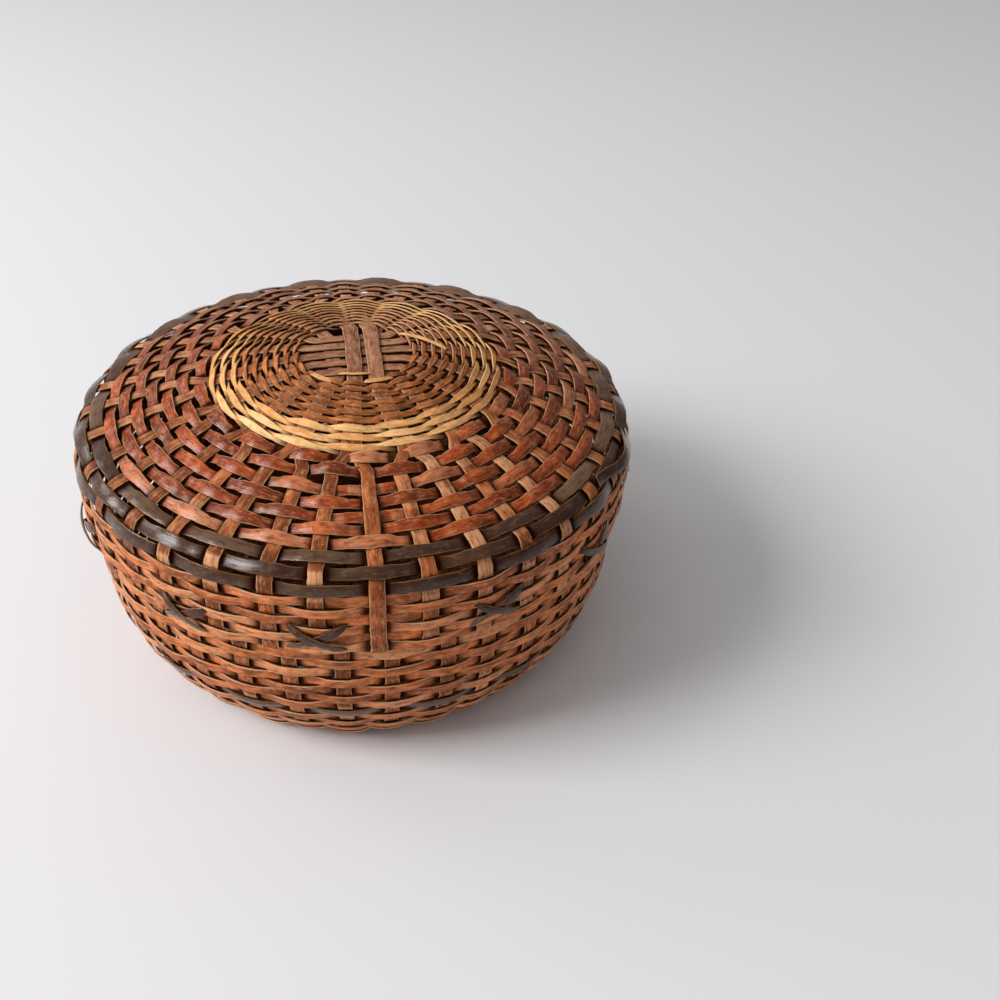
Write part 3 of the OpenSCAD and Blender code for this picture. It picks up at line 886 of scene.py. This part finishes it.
class SPLINT_OT_lid_rows(bpy.types.Operator):
    """Weaves the lid's rows from the hub to the edge"""

    bl_idname = "splint.lid_rows"
    bl_label = "Lid Rows"

    def execute(self, context):
        weave = lid_weave()
        twine_rows(weave, numbered("lid_hub_row"), dyed_splint("dull"), 1.2 * MM, -0.3)
        twine_rows(weave, numbered("lid_tan_row"), dyed_splint("tan"), 1.4 * MM, 0.3)
        weave_rows(
            weave, numbered("lid_top_row"), dyed_splint("brown"), "brown_splint",
            (-1.5 * MM, -1.0 * MM, -0.6 * MM, -0.3 * MM), lift=1.3, fill=0.86, faded=0.9, inside=0.15,
            snug=0.26, lean=0.28, leaf=0.17, deepen=0.4,
        )
        weave_rows(
            weave, numbered("lid_dark_row"), dyed_splint("dark"), "dark_splint", lift=1.05, fill=0.82,
            faded=0.6, inside=0.1, calm=-0.2, snug=0.55, dip=0.32, leaf=0.06,
        )
        weave_rows(
            weave, numbered("lid_side_row"), dyed_splint("wall"), "wall_splint", fill=0.86, **SIDE_MANNER
        )
        return {"FINISHED"}


class SPLINT_OT_lid_crosses(bpy.types.Operator):
    """Ties the X ornaments round the lid's side"""

    bl_idname = "splint.lid_crosses"
    bl_label = "Lid Crosses"

    def execute(self, context):
        weave = lid_weave()
        steps = 9
        for node, lean, rise in (("lid_x_strips", 1, 0.1 * MM), ("lid_x_over_strips", -1, 0.5 * MM)):
            low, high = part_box(node)
            guides = []
            for k in range(CROSSES):
                aside, above = SLIPPED_CROSSES.get(k, (0.0, 0.0))
                angle = weave.turn + 1.5 * STAKE_STEP + k * math.tau / CROSSES + math.radians(aside)
                guide = Guide(wander=0.8, ruffle=1.5)
                tone = weave.chance.uniform(0.0, 0.6)
                tip, droop = weave.chance.uniform(0.85, 1.1), weave.chance.uniform(-0.5, 0.5) * MM
                for j in range(-steps, steps + 1):
                    t = j / steps
                    climb = lean * (2.3 * t + 0.5 * t**3) * MM
                    z = (low.z + high.z) / 2 + above * MM + climb + droop * (1 - t * t)
                    reach = weave.edge[0] + 0.6 * MM + (rise + 0.45 * MM) * (1 - t * t) - 0.55 * MM * t**6
                    turn = angle + t * tip * STRIP_HALF_LENGTH / weave.edge[0]
                    # The lower strip swells to a leaf on the right, and the upper one is even
                    leaf = 0.85 * math.exp(-(((t - 0.45) / 0.32) ** 2))
                    width = 0.95 + leaf - 0.75 * abs(t) ** 6 if lean > 0 else 1.25 - 0.8 * abs(t) ** 6
                    way = round_place((1.0, 0.35 * lean * t), turn)
                    guide.put(round_place((reach, z), turn), way, width * MM, tone)
                guides.append(guide)
            make_splints(
                node + "_splint", guides, STRIP_THICKNESS, dyed_splint("dark"), "lid", [node]
            )
        return {"FINISHED"}


class SPLINT_OT_lid_slivers(bpy.types.Operator):
    """Lays the frayed slivers round the lid's hub and the dark end that has sprung loose at the shoulder"""

    bl_idname = "splint.lid_slivers"
    bl_label = "Lid Slivers"

    def execute(self, context):
        weave = lid_weave()
        guides = []
        steps = 12
        for r0, a0, r1, a1, width, bow, proud, tone in SLIVERS:
            start = round_place((r0 * MM, 0.0), math.radians(a0))
            end = round_place((r1 * MM, 0.0), math.radians(a1))
            across = (end - start).cross(Vector((0, 0, 1))).normalized()
            guide = Guide(wander=1.2, ruffle=1.5)
            for j in range(steps + 1):
                t = j / steps
                arch = 4 * t * (1 - t)
                spot = start.lerp(end, t) + across * bow * MM * arch
                level = weave.height_at(math.hypot(spot[0], spot[1]))
                spot[2] = level + proud * MM - 0.25 * MM * (1 - arch) ** 3
                breadth = width * MM * (0.55 + 0.45 * min(1.0, 3 * arch))
                guide.put(spot, (0.3 - 0.6 * t, -0.2, 1.0), breadth, tone, 0.3)
            guides.append(guide)
        make_splints("lid_hub_slivers", guides, SLIVER_THICKNESS, dyed_splint("tan"), "lid", [])
        loop = Guide()
        row = weave.middles[weave.rows.index("lid_dark_row_2")]
        steps = 20
        for j in range(steps + 1):
            t = j / steps
            angle = math.radians(SPRUNG_START + SPRUNG_SWEEP * t)
            bulge = (0.5 + 1.9 * math.sin(math.pi * t) ** 2) * MM
            flat = (row[0] + bulge, row[1] + (0.9 - 1.8 * t) * MM)
            loop.put(round_place(flat, angle), round_place((0.8, 0.6), angle), SPRUNG_WIDTH, 0.5)
        make_splints("lid_loose_end", [loop], SPRUNG_THICKNESS, dyed_splint("dark"), "lid", [])
        return {"FINISHED"}


class SPLINT_OT_basket_stakes(bpy.types.Operator):
    """Lays the basket's stakes over the base and forks them up to the rim"""

    bl_idname = "splint.basket_stakes"
    bl_label = "Basket Stakes"

    def execute(self, context):
        lay_stakes(basket_weave(), "base")
        return {"FINISHED"}


class SPLINT_OT_basket_rows(bpy.types.Operator):
    """Weaves the basket's rows from the base to the rim"""

    bl_idname = "splint.basket_rows"
    bl_label = "Basket Rows"

    def execute(self, context):
        weave = basket_weave()
        wall, dark = dyed_splint("wall"), dyed_splint("dark")
        base, neck = numbered("base_inner_row") + numbered("base_outer_row"), numbered("neck_row")
        weave_rows(weave, base[:-1], wall, "wall_splint", lift=0.75, fill=1.1)
        weave_rows(weave, base[-1:], wall, "wall_splint", (0.4 * MM,), lift=0.75, fill=1.25)
        for node in numbered("wall_row"):
            material, slot = (dark, "dark_splint") if node == "wall_row_7" else (wall, "wall_splint")
            tone = 0.75 if node == "wall_row_8" else None
            # The rows next to the base and to the neck sit close to them
            fill = 1.15 if node in ("wall_row_1", "wall_row_14") else 0.86
            weave_rows(weave, [node], material, slot, fill=fill, tone=tone, **SIDE_MANNER)
        # Painted shade: the neck rows get a darker tone, standing in for the shade of the lid that keeps them
        # from the light
        weave_rows(weave, neck[:1], wall, "wall_splint", (-0.7 * MM,), lift=0.9, fill=1.25, tone=-0.4)
        weave_rows(weave, neck[1:], wall, "wall_splint", lift=0.9, fill=1.1, tone=-0.4)
        return {"FINISHED"}


class SPLINT_OT_stage(bpy.types.Operator):
    """Sets the basket on a pale floor with soft light and the camera"""

    bl_idname = "splint.stage"
    bl_label = "Stage"

    def execute(self, context):
        scene, look = context.scene, context.scene.splint_stage
        paper = bpy.data.materials.new("Matt pale floor")
        paper.use_nodes = True
        shader = paper.node_tree.nodes["Principled BSDF"]
        shader.inputs["Base Color"].default_value = (*look.floor, 1.0)
        shader.inputs["Roughness"].default_value = 0.9
        mesh = bpy.data.meshes.new("floor")
        corners = [(x * FLOOR_HALF, y * FLOOR_HALF, 0) for x, y in ((-1, -1), (1, -1), (1, 1), (-1, 1))]
        mesh.from_pydata(corners, [], [(0, 1, 2, 3)])
        mesh.materials.append(paper)
        floor = bpy.data.objects.new("floor", mesh)
        scene.collection.objects.link(floor)
        for name, share, size, spot in LAMPS:
            lamp = bpy.data.lights.new(name, "AREA")
            lamp.energy = look.key * share
            lamp.shape = "RECTANGLE"
            lamp.size, lamp.size_y = size
            window = bpy.data.objects.new(name, lamp)
            window.location = spot
            window.rotation_euler = (Vector((0, 0, 0.03)) - Vector(spot)).to_track_quat("-Z", "Z").to_euler()
            scene.collection.objects.link(window)
        world = bpy.data.worlds.new("Soft light all round")
        world.use_nodes = True
        tree = world.node_tree
        sky = tree.nodes["Background"].inputs
        sky["Color"].default_value = (*linear("#f8f6f4"), 1.0)
        # The room is lighter on the left and above, and darker on the right, away from the window
        way = add(tree, "ShaderNodeTexCoord").outputs["Generated"]
        away = vector_calc(tree, "DOT_PRODUCT", way, (0.75, 0.0, -0.6)).outputs["Value"]
        level = ranged(tree, away, -0.85, 0.75, look.fill * 1.35, look.fill * 0.2)
        tree.links.new(level.outputs[0], sky["Strength"])
        scene.world = world
        view = bpy.data.cameras.new("camera")
        view.sensor_width = 36.0
        view.lens = look.lens
        view.clip_start = 0.01
        camera = bpy.data.objects.new("camera", view)
        ahead = Vector((0.0, math.cos(look.dip), -math.sin(look.dip)))
        right, down = Vector((1.0, 0.0, 0.0)), Vector((0.0, -math.sin(look.dip), -math.cos(look.dip)))
        c, s = math.cos(look.roll), math.sin(look.roll)
        right, down = c * right + s * down, c * down - s * right
        turned = Matrix((right, -down, -ahead)).transposed().to_4x4()
        camera.matrix_world = Matrix.Translation(look.eye) @ turned
        scene.collection.objects.link(camera)
        scene.camera = camera
        scene.view_settings.view_transform = "Standard"
        return {"FINISHED"}


OPERATORS = (
    SPLINT_OT_lid_stakes,
    SPLINT_OT_lid_rows,
    SPLINT_OT_lid_crosses,
    SPLINT_OT_lid_slivers,
    SPLINT_OT_basket_stakes,
    SPLINT_OT_basket_rows,
    SPLINT_OT_stage,
)


class SPLINT_PT_basket(bpy.types.Panel):
    """Lists the pieces of the basket and their sizes and colours"""

    bl_idname = "SPLINT_PT_basket"
    bl_label = "Lidded Splint Basket"
    bl_space_type = "VIEW_3D"
    bl_region_type = "UI"
    bl_category = "Splint Basket"

    def draw(self, context):
        for group in (context.scene.splint_sizes, context.scene.splint_dyes, context.scene.splint_stage):
            box = self.layout.box()
            for name in group.bl_rna.properties.keys():
                if name not in ("rna_type", "name"):
                    box.prop(group, name)
        for operator in OPERATORS:
            self.layout.operator(operator.bl_idname)


CLASSES = (SplintSizes, SplintDyes, StageLook, *OPERATORS, SPLINT_PT_basket)


def register():
    for cls in CLASSES:
        bpy.utils.register_class(cls)
    bpy.types.Scene.splint_sizes = PointerProperty(type=SplintSizes)
    bpy.types.Scene.splint_dyes = PointerProperty(type=SplintDyes)
    bpy.types.Scene.splint_stage = PointerProperty(type=StageLook)


def unregister():
    for name in ("splint_sizes", "splint_dyes", "splint_stage"):
        delattr(bpy.types.Scene, name)
    for cls in reversed(CLASSES):
        bpy.utils.unregister_class(cls)


def main():
    register()
    bpy.ops.splint.stage()
    bpy.ops.splint.lid_stakes()
    bpy.ops.splint.lid_rows()
    bpy.ops.splint.lid_crosses()
    bpy.ops.splint.lid_slivers()
    bpy.ops.splint.basket_stakes()
    bpy.ops.splint.basket_rows()


if __name__ == "__main__":
    main()
